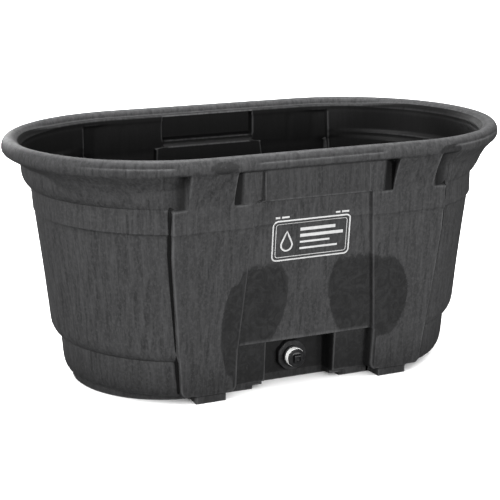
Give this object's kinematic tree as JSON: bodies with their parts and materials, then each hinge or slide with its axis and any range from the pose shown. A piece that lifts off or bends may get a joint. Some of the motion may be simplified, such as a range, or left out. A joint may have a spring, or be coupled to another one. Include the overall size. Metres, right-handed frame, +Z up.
{
  "type": "livestock water trough",
  "caption": "Oval moulded stock tank with rolled rim, drafted stepped walls, side pilasters and a screw-in drain plug in a sheltered recess.",
  "frame": {"origin": "bottom centre of the trough, on the ground", "axes": "+X along the trough, -Y towards the drain side, +Z up"},
  "size_m": [1.3464, 0.7884, 0.635],
  "materials": {
    "tank_plastic": "matte charcoal black foam plastic with flow marks",
    "fitting_plastic": "satin black",
    "plug_plastic": "satin black",
    "seal_white": "satin white",
    "gasket_rubber": "matte",
    "label_film": "printed white line work"
  },
  "bodies": {
    "tub": {"tank_shell": "tank_plastic", "drain_body": "fitting_plastic", "inner_gasket": "gasket_rubber", "outer_washer": "gasket_rubber", "lock_nut": "fitting_plastic", "front_label": "label_film"},
    "seal": {"plug_seal": "seal_white"},
    "plug": {"drain_plug": "plug_plastic"}
  },
  "joints": [
    {"name": "plug_travel", "type": "slide", "parent": "tub", "child": "seal", "axis": [0, -1, 0], "range_m": [0, 0.0222]},
    {"name": "plug_turn", "type": "hinge", "parent": "seal", "child": "plug", "pos_m": [0, -0.207, 0.066], "axis": [0, -1, 0], "range_deg": [0, 3600]}
  ],
  "couplings": [
    {"joint": "plug_travel", "follows": "plug_turn", "m_per_rad": 0.00035153}
  ]
}
